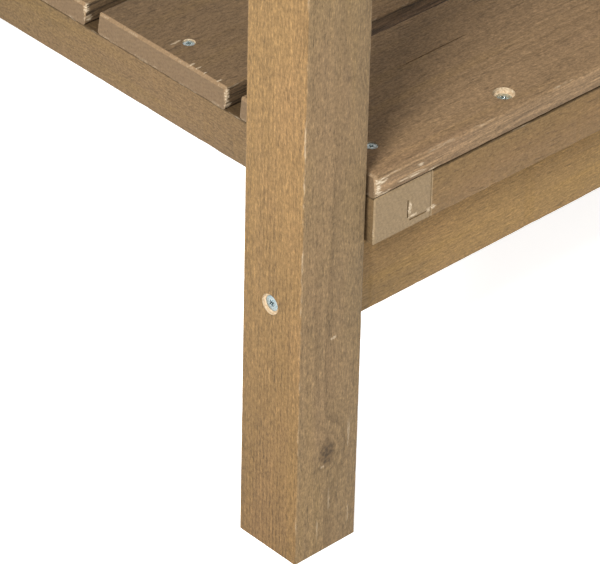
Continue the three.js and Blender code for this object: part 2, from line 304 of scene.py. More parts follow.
# How light the left end of a slat is against the rest of it, partly the board's own tone and partly painted
# shade, and where that fades out.
DARK_END = {"shelf_slat_2": 0.70, "shelf_slat_3": 0.88}
DARK_END_FADE = (CORNER.x + 90 * MM, CORNER.x + 210 * MM)

# Tints that multiply a board's own colour, or the raw wood's, and how far some of them show.
LATE_WOOD = (0.96, 0.95, 0.93)
FADED = (1.05, 1.01, 1.08)
GOLDEN = (1.06, 1.04, 0.84)
KNOT_CORE = (0.22, 0.21, 0.22)
KNOT_PATCH = (0.74, 0.70, 0.68)
SPLINTER = (0.42, 0.36, 0.28)
FADED_SHARE = 0.7
GOLDEN_SHARE = 0.4
WORN_SHARE = 0.34

# How strongly each pattern darkens or lightens the wood.
BAND_CONTRAST = 0.08
GRIT_CONTRAST = 0.85
FLECK_DARK = 0.26
HAIR_LIGHT = 0.24

# The pith's direction, its distance from the board's middle in mm and its sway along the board,
# then the year rings' width in mm and how far they wander, in rings.
PITH_ANGLE = (-2.4, -0.7)
PITH_DISTANCE = (40, 90)
PITH_SWAY = 8 * MM
RING_WIDTH = (1.8, 2.8)
RING_WANDER = 1.4
RINGS_PUSHED_BY_KNOT = 3.4

# A knot's squash along the grain, and where its core ends and its pull fades, in its own radii.
KNOT_SQUASH = 0.74
KNOT_WOBBLE = 0.9
KNOT_RIM = (0.95, 1.6)
KNOT_PULL = 2.2

# How far painted shade reaches into a board, and how light it leaves it: at the ends of rails, in the joints
# between slats and battens, on the slats' sides in the gaps, and towards the floor on the legs.
RAIL_END_SHADE_NEAR = 20 * MM
RAIL_END_SHADE_FAR = 75 * MM
RAIL_END_SHADE_TONE = 0.8
JOINT_SHADE_TONE = 0.4
BATTEN_JOINT = (1.3 * MM, 0.2 * MM)
SLAT_JOINT = (0.3 * MM, 2.0 * MM)
GAP_TONE = 0.26
FRONT_TONE = 0.66
STREAK_LIGHT = 0.55
FOOT_SHADE_FADE = (-0.02, 0.28)


@dataclass
class Pattern:
    """Noise on a board: its cells per metre across, up and along it, and where it is cut off."""

    cells: tuple
    detail: int
    seed: int
    roughness: float = 0.5
    cut: tuple = ()


PATTERNS = {
    "sway": Pattern((9, 9, 1.6), 2, 0),
    "wander": Pattern((90, 90, 5), 2, 3),
    "clear": Pattern((45, 45, 6), 2, 35, cut=(0.38, 0.66)),
    "fine": Pattern((1150, 1150, 220), 4, 7, 0.75),
    "streak": Pattern((420, 420, 9), 3, 9, 0.6),
    "band": Pattern((70, 70, 3.5), 2, 15),
    "cloud": Pattern((16, 16, 5), 3, 11, 0.55),
    "grit": Pattern((900, 900, 520), 3, 13, 0.8),
    "fleck": Pattern((760, 760, 95), 2, 17, cut=(0.60, 0.70)),
    "hair": Pattern((950, 950, 150), 2, 27, cut=(0.61, 0.71)),
    "splinter": Pattern((1500, 1500, 210), 3, 33, 0.7, cut=(0.38, 0.62)),
    "side_streak": Pattern((620, 620, 22), 4, 37, 0.7, cut=(0.36, 0.64)),
    "pore": Pattern((1000, 620, 300), 3, 19, 0.7),
    "saw_bend": Pattern((120, 120, 120), 3, 21),
    "sliver": Pattern((900, 900, 120), 4, 29, 0.7),
    "patchy": Pattern((60, 60, 30), 2, 31),
}


@dataclass
class Knot:
    """A knot that runs through a board along one axis."""

    place: Vector
    radius: float
    through: str


@dataclass
class Torn:
    """A patch of torn, pale fibres."""

    place: Vector
    reach: Vector
    strength: float = 1.0


class Wood:
    """The wood of one board: rings and fibres along its grain, knots, torn patches and worn edges."""

    def __init__(self, board, knots, torn):
        self.sh = Shader(board.name + "_wood")
        self.board = board
        self.finish = FINISHES[board.slot]
        self.colours = bpy.context.scene.bench_colours
        self.base = tuple(getattr(self.colours, self.finish.colour))
        self.rng = random.Random(board.seed)
        self.shift = self.rng.random() * 40
        self.knots = knots
        self.torn = torn
        self.place = self.sh.add("TexCoord").outputs["Object"]
        self.centred = self.sh.vector("SUBTRACT", self.place, (board.low + board.high) / 2)
        parts = self.sh.split(self.centred)
        order = {"x": (1, 2, 0), "y": (2, 0, 1), "z": (0, 1, 2)}[board.grain]
        self.across, self.up, self.along = (parts[i] for i in order)
        inputs = {0: self.across, 1: self.up, 2: self.along}
        self.lengthwise = self.sh.add("CombineXYZ", inputs).outputs[0]

    def noise(self, name):
        """One of the patterns, laid along the board's grain."""
        pattern = PATTERNS[name]
        seed = self.shift + pattern.seed
        value = self.sh.noise(self.lengthwise, pattern.cells, pattern.detail, seed, pattern.roughness)
        return self.sh.step(value, *pattern.cut) if pattern.cut else value

    def rings(self):
        """Year rings round a pith outside the board, 1 inside a knot, and how near a knot is."""
        sh = self.sh
        angle = self.rng.uniform(*PITH_ANGLE)
        pith = Vector((math.cos(angle), math.sin(angle))) * self.rng.uniform(*PITH_DISTANCE) * MM
        sway = sh.scale_add(self.noise("sway"), 2 * PITH_SWAY, -PITH_SWAY)
        a = sh.math("ADD", sh.math("SUBTRACT", self.across, pith.x), sway)
        b = sh.math("SUBTRACT", self.up, pith.y)
        radius = sh.math("SQRT", sh.math("ADD", sh.product(a, a), sh.product(b, b)))
        rings = sh.math("DIVIDE", radius, self.rng.uniform(*RING_WIDTH) * MM)
        rings = sh.math("ADD", rings, sh.product(self.noise("wander"), RING_WANDER))
        knotty, swirl = 0.0, 0.0
        for knot in self.knots:
            inside, pull = self.knot_field(knot)
            rings = sh.math("ADD", rings, sh.product(pull, RINGS_PUSHED_BY_KNOT))
            knotty = sh.math("MAXIMUM", knotty, inside)
            swirl = sh.math("MAXIMUM", swirl, pull)
        return rings, knotty, swirl

    def knot_field(self, knot):
        """1 inside a knot, and how far the rings round it are pushed aside."""
        sh = self.sh
        flat = [1.0, 1.0, 1.0]
        flat[INDEX[knot.through]] = 0.0
        flat[self.board.lengthways] *= KNOT_SQUASH
        reach = sh.vector("MULTIPLY", sh.vector("SUBTRACT", self.place, knot.place), tuple(flat))
        wobble = sh.noise(self.place, (230, 230, 230), 2, self.shift + 5)
        gap = sh.scale_add(wobble, knot.radius * KNOT_WOBBLE, sh.vector("LENGTH", reach))
        inside = sh.inverse(sh.step(gap, *(knot.radius * edge for edge in KNOT_RIM)))
        far = sh.math("DIVIDE", gap, knot.radius * KNOT_PULL)
        pull = sh.math("POWER", 0.3, sh.product(far, far))
        return inside, pull

    def late_wood(self, rings, swirl):
        """1 on the dark side of each year ring, fainter where the board's rings are unclear."""
        sh = self.sh
        phase = sh.math("FRACT", rings)
        late = sh.product(sh.step(phase, 0.2, 0.85), sh.inverse(sh.step(phase, 0.9, 1.0)))
        clear = sh.scale_add(self.noise("clear"), 0.8, 0.2)
        return sh.product(late, sh.math("MAXIMUM", clear, sh.product(swirl, 1.8)))

    def material(self):
        sh, finish, base = self.sh, self.finish, self.base
        rings, knot, swirl = self.rings()
        late = self.late_wood(rings, swirl)
        names = ("fine", "streak", "band", "cloud", "grit", "fleck", "hair")
        fine, streak, band, cloud, grit, fleck, hair = (self.noise(name) for name in names)
        batch = BOARD_TONE.get(self.board.name, self.rng.uniform(*BATCH_TONE))
        tone = sh.product(
            sh.around(fine, finish.fibre_contrast),
            sh.around(streak, finish.streak_contrast),
            sh.around(band, BAND_CONTRAST),
            sh.around(cloud, finish.mottle * 2),
            sh.around(grit, GRIT_CONTRAST),
            sh.scale_add(late, -finish.ring_contrast, 1 + finish.ring_contrast / 3),
            sh.scale_add(fleck, -FLECK_DARK, 1.0),
            sh.scale_add(hair, HAIR_LIGHT, 1.0),
            self.painted_shade_and_dark_ends(),
            batch,
        )
        shade = sh.blend(late, base, tinted(base, LATE_WOOD))
        shade = sh.blend(sh.product(sh.step(cloud, 0.45, 0.68), FADED_SHARE), shade, tinted(base, FADED))
        shade = sh.blend(sh.product(sh.step(band, 0.52, 0.72), GOLDEN_SHARE), shade, tinted(base, GOLDEN))
        shade = self.tinted_sides(shade)
        tone, shade = self.sawn_ends(tone, shade, late)
        colour = sh.scale(shade, tone)
        if self.knots:
            patches = sh.step(sh.noise(self.place, (380, 380, 380), 3, self.shift + 23, 0.65), 0.32, 0.68)
            dark = sh.blend(patches, tinted(base, KNOT_CORE), tinted(base, KNOT_PATCH))
            colour = sh.blend(sh.product(knot, 0.92), colour, dark)
        bare = self.bare_wood()
        raw = tuple(self.colours.raw)
        fibres = sh.scale(sh.blend(self.noise("splinter"), tinted(raw, SPLINTER), raw), sh.around(fine, 0.4))
        colour = sh.blend(bare, colour, fibres)

        height = sh.math("ADD", sh.product(fine, 0.5), sh.product(streak, 0.35))
        height = sh.math("ADD", height, sh.product(grit, 0.35))
        for dent, depth in ((late, 0.12), (fleck, 0.35), (bare, 0.3)):
            height = sh.scale_add(dent, -depth, height)
        roughness = sh.scale_add(streak, 0.2, 0.66)
        return sh.finish(colour, roughness, height, 0.7, 0.3 * MM, specular=0.25)

    def edge_measure(self):
        """1 on the middle of an eased edge and 0 on the flat faces, from the board's own box."""
        sh = self.sh
        rounding, _ = rounding_of(self.board)
        reach = [rounding] * 3
        reach[self.board.lengthways] = bpy.context.scene.bench_timber.slat_end
        half = (self.board.high - self.board.low) / 2
        inward = sh.vector("SUBTRACT", half, sh.vector("ABSOLUTE", self.centred))
        depths = sh.split(sh.vector("DIVIDE", inward, tuple(reach)))
        lesser = sh.math("MINIMUM", depths[0], depths[1])
        greater = sh.math("MAXIMUM", depths[0], depths[1])
        second = sh.math("MAXIMUM", lesser, sh.math("MINIMUM", greater, depths[2]))
        return sh.math("SUBTRACT", 1.0, second, clamp=True)

    def painted_shade_and_dark_ends(self):
        """Painted shade: darkens joints, the sides of slats that face a gap and the ends of rails; also
        darkens the left ends of some slats, part the board's own tone and part painted shade.
        """
        sh, board = self.sh, self.board
        x, _, height = sh.split(self.place)
        if board.slot == "rail_wood":
            # Painted shade: the rail darkens towards both ends, where the parts it meets shade it.
            left = sh.step(x, board.low.x + RAIL_END_SHADE_NEAR, board.low.x + RAIL_END_SHADE_FAR)
            right = sh.step(x, board.high.x - RAIL_END_SHADE_FAR, board.high.x - RAIL_END_SHADE_NEAR)
            return sh.scale_add(sh.math("SUBTRACT", left, right), 1 - RAIL_END_SHADE_TONE, RAIL_END_SHADE_TONE)
        if board.slot == "batten_wood":
            # Painted shade: a dark line along the top of the batten, in the joint under the slats.
            unshaded = sh.inverse(sh.step(height, *(board.high.z - depth for depth in BATTEN_JOINT)))
            return sh.scale_add(unshaded, 1 - JOINT_SHADE_TONE, JOINT_SHADE_TONE)
        if not board.lies_flat:
            return 1.0
        # Painted shade: a dark line along the bottom of the slat, in the joint over the battens.
        unshaded = sh.step(height, *(board.low.z + depth for depth in SLAT_JOINT))
        # Painted shade on the slats' long sides, streaky and darkest in the gaps between slats; the front
        # slat is darkened less.
        side = sh.step(sh.facing("y"), 0.6, 0.95)
        darkest = FRONT_TONE if board.name.endswith("_1") else GAP_TONE
        streaky = sh.scale_add(self.noise("side_streak"), STREAK_LIGHT, darkest)
        tone = sh.product(sh.scale_add(unshaded, 1 - JOINT_SHADE_TONE, JOINT_SHADE_TONE), sh.mix(side, 1.0, streaky))
        if board.name in DARK_END:
            # The left end darkens: part the board's own tone, part painted shade.
            dark = DARK_END[board.name]
            tone = sh.product(tone, sh.scale_add(sh.step(x, *DARK_END_FADE), 1 - dark, dark))
        return tone

    def tinted_sides(self, shade):
        """The faces across x keep more of the golden treatment; on the legs they also darken towards the
        ground, painted shade for the side light falling off near the floor.
        """
        sh, finish = self.sh, self.finish
        if finish.side_tint == (1.0, 1.0, 1.0):
            return shade
        side = sh.step(sh.facing("x"), 0.35, 0.95)
        height = sh.split(self.place)[2]
        tint = sh.blend(sh.step(height, *FOOT_SHADE_FADE), finish.floor_shade_tint, finish.side_tint)
        return sh.vector("MULTIPLY", shade, sh.blend(side, (1, 1, 1), tint))

    def sawn_ends(self, tone, shade, late):
        """Sawn ends show pores and the saw's curved marks in place of long fibres."""
        sh = self.sh
        facing = sh.facing(self.board.grain, "True Normal")
        end = sh.step(facing, 0.55, 0.68)
        eased = sh.product(end, sh.inverse(sh.step(facing, 0.76, 0.9)))
        slope = sh.scale_add(self.across, 900, sh.product(self.up, 2300))
        bend = sh.scale_add(self.noise("saw_bend"), 14, slope)
        end_tone = sh.product(
            sh.around(self.noise("pore"), 0.42),
            sh.scale_add(late, -0.02, 1.0),
            sh.scale_add(sh.math("SINE", bend), 0.04, 1.0),
            sh.scale_add(eased, self.finish.end_shine, 1.0),
        )
        tone = sh.mix(end, tone, end_tone)
        return tone, sh.blend(end, shade, tinted(self.base, self.finish.end_tint))

    def bare_wood(self):
        """1 where slivers of raw wood show, along worn edges and in torn patches."""
        sh = self.sh
        sliver = self.noise("sliver")
        worn = sh.step(sh.math("ADD", sliver, self.noise("patchy")), 1.0, 1.2)
        worn = sh.product(worn, sh.step(self.edge_measure(), 0.1, 0.6))
        bare = sh.product(worn, WORN_SHARE)
        for patch in self.torn:
            reach = sh.vector("DIVIDE", sh.vector("SUBTRACT", self.place, patch.place), patch.reach)
            gap = sh.scale_add(sliver, 2.6, sh.vector("LENGTH", reach))
            inside = sh.inverse(sh.step(gap, 1.6, 2.2))
            bare = sh.math("MAXIMUM", bare, sh.product(inside, patch.strength))
        return bare


def raw_wood_material():
    """Freshly drilled wood, pale and stringy."""
    sh = Shader("raw_wood")
    raw = tuple(bpy.context.scene.bench_colours.raw)
    place = sh.add("TexCoord").outputs["Object"]
    string = sh.step(sh.noise(place, (700, 700, 900), 3, 2.0, 0.65), 0.3, 0.7)
    patch = sh.noise(place, (160, 160, 160), 2, 5.0)
    shade = sh.blend(string, tinted(raw, (1.1, 1.1, 1.1)), tinted(raw, (0.62, 0.55, 0.48)))
    shade = sh.blend(sh.product(patch, 0.4), shade, tinted(raw, (0.9, 0.8, 0.65)))
    return sh.finish(shade, 0.8, string, 0.6, 0.3 * MM)


def zinc_material(name, zinc):
    """Zinc plate with a faint bluish cloud and fine scratches."""
    sh = Shader(name)
    place = sh.add("TexCoord").outputs["Object"]
    cloud = sh.noise(place, (900, 900, 900), 3, 1.0, 0.6)
    scratch = sh.noise(place, (1500, 1500, 1500), 2, 4.0, 0.6)
    shade = sh.blend(sh.step(cloud, 0.35, 0.65), zinc, tinted(zinc, (0.62, 0.74, 0.76)))
    roughness = sh.scale_add(scratch, 0.16, 0.14)
    return sh.finish(shade, roughness, scratch, 0.8, 0.3 * MM, metallic=1.0, specular=0.5)


# ---------------------------------------------------------------- modelling steps


def deselect_all():
    for piece in bpy.context.selected_objects:
        piece.select_set(False)


def activate(piece):
    deselect_all()
    piece.select_set(True)
    bpy.context.view_layer.objects.active = piece


def apply_modifier(piece, kind, **settings):
    modifier = piece.modifiers.new(kind.title(), kind)
    for key, value in settings.items():
        setattr(modifier, key, value)
    activate(piece)
    bpy.ops.object.modifier_apply(modifier=modifier.name)


def add_block(name, low, high):
    """A block between two corners, its place in its mesh."""
    deselect_all()
    bpy.ops.mesh.primitive_cube_add(size=1, location=(low + high) / 2, scale=high - low)
    block = bpy.context.active_object
    block.name = block.data.name = name
    bpy.ops.object.transform_apply(location=True, rotation=True, scale=True)
    return block


def enter_edit():
    bpy.ops.object.mode_set(mode="EDIT")


def leave_edit():
    bpy.ops.object.mode_set(mode="OBJECT")


def edit_edges(piece, chosen):
    """Goes into edit mode with only the edges selected whose two ends pass the test."""
    activate(piece)
    enter_edit()
    bpy.ops.mesh.select_mode(type="EDGE")
    bpy.ops.mesh.select_all(action="DESELECT")
    leave_edit()
    vertices = piece.data.vertices
    for edge in piece.data.edges:
        first, second = edge.vertices
        edge.select = chosen(vertices[first].co, vertices[second].co)
    enter_edit()


def turned(name, outline, sides):
    """A solid turned about Z, extruded ring by ring from an outline of (radius, height)."""
    deselect_all()
    radius, height = outline[0]
    bpy.ops.mesh.primitive_circle_add(vertices=sides, radius=radius, fill_type="NGON", location=(0, 0, 0))
    piece = bpy.context.active_object
    piece.name = piece.data.name = name
    enter_edit()
    bpy.ops.mesh.select_all(action="SELECT")
    bpy.ops.transform.translate(value=(0, 0, height))
    for next_radius, next_height in outline[1:]:
        rise = (0, 0, next_height - height)
        bpy.ops.mesh.extrude_region_move(TRANSFORM_OT_translate={"value": rise})
        factor = next_radius / radius
        bpy.ops.transform.resize(value=(factor, factor, 1), center_override=(0, 0, next_height))
        radius, height = next_radius, next_height
    bpy.ops.mesh.select_all(action="SELECT")
    bpy.ops.mesh.normals_make_consistent(inside=False)
    leave_edit()
    return piece


def copy_of(piece, name, place):
    """A copy with its own mesh, moved by a matrix that ends up in the mesh."""
    other = piece.copy()
    other.data = piece.data.copy()
    other.name = other.data.name = name
    bpy.context.scene.collection.objects.link(other)
    other.data.transform(place)
    return other


def joined(pieces):
    deselect_all()
    for piece in pieces:
        piece.select_set(True)
    bpy.context.view_layer.objects.active = pieces[0]
    if len(pieces) > 1:
        bpy.ops.object.join()
    return pieces[0]


def removed(piece):
    mesh = piece.data
    bpy.data.objects.remove(piece)
    bpy.data.meshes.remove(mesh)


# ---------------------------------------------------------------- screws


@dataclass
class ScrewKind:
    """Sizes of one kind of screw, and how deep its head lies."""

    head: float
    shank: float
    length: float
    sink: float
    bored: bool
    # Whether it takes the lighter zinc, which is painted shine.
    bright: bool


def cad_length(node, axis):
    low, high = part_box(node)
    return (high - low)[INDEX[axis]]


FRAME_SCREW = cad_length("stretcher_screw_front_left", "x")
PANEL_SCREW = cad_length("panel_screw_front_left", "z")
SLAT_SCREW = cad_length("slat_screw_left_2", "z")
SCREW_KINDS = {
    "frame": ScrewKind(4.5 * MM, 2.25 * MM, FRAME_SCREW, 1.25 * MM, bored=True, bright=False),
    "panel": ScrewKind(4.5 * MM, 2.25 * MM, PANEL_SCREW, 2.75 * MM, bored=True, bright=True),
    "slat": ScrewKind(3.5 * MM, 1.75 * MM, SLAT_SCREW, 0.5 * MM, bored=False, bright=True),
    "worktop": ScrewKind(3.5 * MM, 1.75 * MM, 48 * MM, 0.5 * MM, bored=False, bright=True),
    "batten": ScrewKind(4 * MM, 2 * MM, 60 * MM, 0.5 * MM, bored=False, bright=False),
    "long": ScrewKind(4.5 * MM, 2.25 * MM, 105 * MM, 1.25 * MM, bored=True, bright=False),
}

# Where screws stand: their heights over a board's low side, and the shares of a board's width.
RAIL_SCREW_RISE = 20 * MM
APRON_SCREW_RISE = 16 * MM
LOW_SCREW_RISE = 7 * MM
BRACKET_SCREW_IN = 12 * MM
BRACKET_SCREW_UP = 14 * MM
MIDDLE_SCREW_ASIDE = 9 * MM
PAIR = (0.24, 0.76)
WORKTOP_PAIR = (1 / 3, 2 / 3)
UPPER_PAIR = (0.27, 0.73)


@dataclass
class Screw:
    """One screw: its head's centre, the way the head faces, and the CAD node that it stands for."""

    name: str
    kind: str
    head: Vector
    outward: Vector
    node: str = ""

    def place(self, twist):
        turn = self.outward.to_track_quat("Z", "Y").to_matrix().to_4x4()
        return Matrix.Translation(self.head) @ turn @ Matrix.Rotation(twist, 4, "Z")

    def boards(self):
        """The boards that the screw's axis passes through."""
        kind = SCREW_KINDS[self.kind]
        hit = []
        for name, (low, high) in BOX.items():
            for share in (0.06, 0.3, 0.5, 0.7, 0.9):
                point = self.head - self.outward * kind.length * share
                if all(low[i] <= point[i] <= high[i] for i in range(3)):
                    hit.append(name)
                    break
        return hit


def head_from_node(node, axis, sign):
    """The centre of a CAD screw's head: the middle of its box, at the end that faces outwards."""
    low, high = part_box(node)
    head = (low + high) / 2
    head[INDEX[axis]] = (high if sign > 0 else low)[INDEX[axis]]
    return head


def face_point(board, axis, sign, kind, **where):
    """A head's centre on one face of a board, in the middle of the board unless a place is given."""
    head = middle_of(board)
    face = BOX[board][1 if sign > 0 else 0][INDEX[axis]]
    head[INDEX[axis]] = face - sign * SCREW_KINDS[kind].sink
    for key, value in where.items():
        head[INDEX[key]] = value
    return head


def screw_list():
    """Every screw of the bench, the CAD's and those that only the visual model has."""
    screws = []

    def from_cad(node, kind, axis, sign):
        screws.append(Screw(node, kind, head_from_node(node, axis, sign), AXIS[axis] * sign, node))

    def extra(name, kind, board, axis, sign, **where):
        head = face_point(board, axis, sign, kind, **where)
        screws.append(Screw(name, kind, head, AXIS[axis] * sign))

    def row(board, label, kind, x, shares):
        """Screws down through a slat, spaced over its width."""
        low, high = BOX[board]
        for letter, share in zip("ab", shares):
            y = low.y + (high.y - low.y) * share
            extra(f"{board}_screw_{label}_{letter}", kind, board, "z", 1, x=x, y=y)

    apron_low = BOX["front_apron"][0].z
    rail_y = middle_of("top_shelf_rail").y
    rail_z = BOX["top_shelf_rail"][0].z + RAIL_SCREW_RISE
    for side, sign in SIDES:
        for end, upright, facing in ENDS:
            corner = f"{end}_{side}"
            leg = f"{end}_{side}_{upright}"
            from_cad(f"stretcher_screw_{corner}", "frame", "x", sign)
            from_cad(f"apron_screw_{corner}", "frame", "x", sign)
            from_cad(f"side_rail_screw_{corner}", "frame", "y", facing)
            from_cad(f"panel_screw_{corner}", "panel", "z", 1)
            extra(f"apron_screw_low_{corner}", "frame", leg, "x", sign, z=apron_low + APRON_SCREW_RISE)
            extra(f"side_rail_screw_low_{corner}", "frame", leg, "y", facing, z=apron_low + LOW_SCREW_RISE)
            batten_y = middle_of(f"shelf_{end}_batten").y
            extra(f"batten_screw_{corner}", "batten", f"shelf_end_batten_{side}", "x", sign, y=batten_y)
        extra(f"top_rail_screw_{side}", "long", f"back_{side}_post", "x", sign, y=rail_y, z=rail_z)
        bracket = f"top_shelf_bracket_{side}"
        post_low, post_high = BOX[f"back_{side}_post"]
        for name, y, z in (
            ("upper", post_low.y + BRACKET_SCREW_IN, BOX[bracket][1].z - BRACKET_SCREW_UP),
            ("lower", post_high.y - BRACKET_SCREW_IN, BOX[bracket][0].z + BRACKET_SCREW_UP),
        ):
            extra(f"bracket_screw_{name}_{side}", "batten", bracket, "x", -sign, y=y, z=z)
        for node in sorted(SLOTS):
            if node.startswith(f"slat_screw_{side}"):
                from_cad(node, "slat", "z", 1)
        x = middle_of(f"back_{side}_post").x
        for board in boards_like("backboard"):
            low, high = BOX[board]
            for letter, share in zip("ab", PAIR):
                z = low.z + (high.z - low.z) * share
                extra(f"{board}_screw_{side}_{letter}", "slat", board, "y", -1, x=x, z=z)
        for board in boards_like("worktop_slat"):
            row(board, side, "worktop", middle_of(f"{side}_side_rail").x, WORKTOP_PAIR)
        for board in boards_like("top_shelf_slat"):
            row(board, side, "slat", middle_of(bracket).x, UPPER_PAIR)

    for board in boards_like("worktop_slat"):
        row(board, "middle", "worktop", 0.0, WORKTOP_PAIR)
    for board in boards_like("shelf_slat"):
        outer = board.endswith(("_1", "_4"))
        row(board, "middle", "slat", MIDDLE_SCREW_ASIDE, PAIR if outer else (0.5,))
    extra("top_rail_screw_middle", "slat", "top_shelf_slat_2", "z", 1, y=rail_y)
    bearer_z = BOX["worktop_bearer"][0].z + LOW_SCREW_RISE
    for end, _, facing in ENDS:
        batten = f"shelf_{end}_batten"
        extra(f"middle_batten_screw_{end}", "batten", batten, "y", facing, x=-MIDDLE_SCREW_ASIDE)
        extra(f"bearer_screw_{end}", "batten", f"{end}_apron", "y", facing, x=0.0, z=bearer_z)
    return screws


SCREWS = screw_list()


def hole_outline(kind):
    """Outline of the hole for a kind of screw, from the open air down, with the head at height 0."""
    fixings = bpy.context.scene.bench_fixings
    gap = fixings.hole_clearance
    shank = kind.shank + gap
    if kind.bored:
        mouth = fixings.counterbore_radius
        seat = [(mouth, -0.1 * MM), (kind.head + gap, -0.15 * MM)]
    else:
        mouth = fixings.slat_hole_radius * kind.head / SCREW_KINDS["slat"].head
        seat = [(mouth, kind.sink - 0.1 * MM), (kind.head + gap, -0.2 * MM)]
    cone = kind.head - kind.shank
    tip = [(shank, -cone - gap), (shank, -kind.length), (shank * 0.2, -kind.length - shank)]
    return [(mouth, kind.sink + 2 * MM), *seat, *tip]


def hole_cutters():
    """One drill of raw wood for each kind of screw, to be copied to every hole."""
    raw = bpy.data.materials.get("raw_wood") or raw_wood_material()
    sides = bpy.context.scene.bench_fixings.turned_sides
    cutters = {}
    for name, kind in SCREW_KINDS.items():
        cutters[name] = turned(f"cutter_{name}", hole_outline(kind), sides)
        cutters[name].data.materials.append(raw)
    return cutters


def screw_master(name, kind, zinc):
    """A countersunk screw with a cross recess: a turned body, then the recess cut from its head."""
    sides = bpy.context.scene.bench_fixings.turned_sides
    cone = kind.head - kind.shank
    rim = 0.25 * MM
    outline = [
        (kind.head * 0.93, 0),
        (kind.head, -rim * 0.5),
        (kind.head, -rim),
        (kind.shank, -cone - rim),
        (kind.shank, -kind.length + 2.4 * kind.shank),
        (kind.shank * 0.15, -kind.length),
    ]
    body = turned(name, outline, sides)
    reach = kind.head * 0.58
    core = [(kind.head * 0.3, 1 * MM), (kind.head * 0.26, 0), (kind.head * 0.1, -1.9 * MM)]
    for cutter in (
        *cross_arms(name + "_arm", Vector((reach, 0.48 * MM, 2.0 * MM)), 0, taper_down),
        turned(f"{name}_core", core, 12),
        *cross_arms(name + "_tick", Vector((reach * 0.92, 0.13 * MM, 0.25 * MM)), 0.5),
    ):
        apply_modifier(body, "BOOLEAN", operation="DIFFERENCE", solver="EXACT", object=cutter)
        removed(cutter)
    body.data.materials.clear()
    body.data.materials.append(zinc)
    activate(body)
    bpy.ops.object.shade_smooth_by_angle(angle=math.radians(35))
    return body


def cross_arms(name, half, quarter_turns, shape=None):
    """Two crossing blocks that cut part of a recess, centred on the head."""
    arms = []
    for number in range(2):
        arm = add_block(f"{name}_{number}", -half, half)
        if shape:
            shape(arm)
        arm.data.transform(Matrix.Rotation((number + quarter_turns) * math.pi / 2, 4, "Z"))
        arms.append(arm)
    return arms


def taper_down(block):
    """Narrows the lower end of a recess arm."""
    activate(block)
    enter_edit()
    bpy.ops.mesh.select_mode(type="VERT")
    bpy.ops.mesh.select_all(action="DESELECT")
    leave_edit()
    for vertex in block.data.vertices:
        vertex.select = vertex.co.z < 0
    enter_edit()
    bpy.ops.transform.resize(value=(0.55, 0.6, 1), center_override=(0, 0, 0))
    leave_edit()


# ---------------------------------------------------------------- boards

# Marks on the corner that shows most, in millimetres from the outer bottom corner of its leg.
KNOTS = {"front_left_leg": [Knot(from_corner(22.0, 0, 66.3), 6.4 * MM, "y")]}
# How far random knots and tears stay away from that corner, and what length of board has only
# one knot, in metres.
KNOT_FREE = 0.45
TEAR_FREE = 0.3
SHORT_BOARD = 0.5

# Torn patches: the place, the reach and, where it isn't 1, how strongly the patch shows.
TORN = {
    "front_left_leg": [
        (23.8, 0, 141.3, 3.2, 1, 1.2, 0.7),
        (45, 0.5, 224, 0.9, 0.9, 9, 0.5),
        (37.5, 0, 75.0, 1.6, 1, 13, 0.3),
        (18.5, 0, 58.5, 2.0, 1, 1.0, 0.4),
        (24.0, 0, 32.0, 1.1, 1, 11, 0.32),
        (39.0, 0, 17.0, 1.0, 1, 9, 0.32),
        (16.0, 0, 17.0, 1.0, 1, 10, 0.3),
    ],
    "shelf_slat_1": [
        (51.6, -3, 229.2, 5.6, 1.8, 2.9),
        (50.4, -3, 224.5, 3.2, 1.8, 5.0),
        (53.5, -3, 220.6, 8.0, 1.6, 1.6),
        (58.0, -3, 230.8, 9.0, 1.2, 1.0, 0.5),
        (75.5, -3, 223.2, 12.0, 1.4, 1.6, 0.6),
        (81.5, -3, 227.4, 4.0, 1.2, 1.2, 0.7),
        (91.0, -3, 221.2, 5.5, 1.4, 1.2, 0.9),
    ],
    "shelf_slat_2": [
        (49.3, 113.2, 228.5, 2.4, 2.0, 6.0),
        (50.0, 113.6, 222.0, 3.0, 2.0, 2.0, 0.8),
        (50.6, 143.1, 233.5, 3.4, 0.75, 1),
        (50.8, 138.2, 233.5, 3.4, 0.75, 1),
        (50.6, 132.2, 233.5, 3.0, 0.75, 1),
        (50.8, 121.2, 233.5, 2.6, 0.75, 1),
        (59.4, 166.0, 233.5, 5.0, 1.0, 1, 0.9),
    ],
    "shelf_slat_3": [
        (49.5, 229.4, 229.5, 3.0, 2.0, 4.0),
        (50.5, 229.4, 223.5, 3.4, 2.0, 3.0, 0.9),
    ],
    "shelf_end_batten_left": [
        (74.6, -3, 203.0, 1.6, 1.2, 5.5, 0.9),
        (77.0, -3, 197.6, 4.5, 1.2, 1.2, 0.8),
        (88.5, -3, 196.0, 3.0, 1.2, 1.6, 0.8),
    ],
    "shelf_front_batten": [(91.0, -3, 196.6, 3.2, 1.2, 1.8, 0.8)],
}


@dataclass
class Board:
    """A board's box, its grain and its finish."""

    name: str
    low: Vector
    high: Vector
    grain: str
    slot: str
    seed: int

    @property
    def lengthways(self):
        return INDEX[self.grain]

    @property
    def length(self):
        return self.along(self.high) - self.along(self.low)

    @property
    def lies_flat(self):
        """Whether it is a slat on its broad side, and not a backboard."""
        return self.slot == "slat_wood" and (self.high - self.low).z < 30 * MM

    def along(self, point):
        return point[self.lengthways]

    def section(self):
        return [i for i in range(3) if i != self.lengthways]


def board_of(name):
    low, high = BOX[name]
    size = high - low
    grain = "xyz"[max(range(3), key=lambda i: size[i])]
    return Board(name, low, high, grain, SLOTS[name], 100 + BOARD_NAMES.index(name))


def rounding_of(board):
    timber = bpy.context.scene.bench_timber
    if board.slot == "slat_wood":
        return timber.slat_rounding, 5
    if board.slot == "leg_wood":
        return timber.leg_arris, 3
    return timber.rail_arris, 2


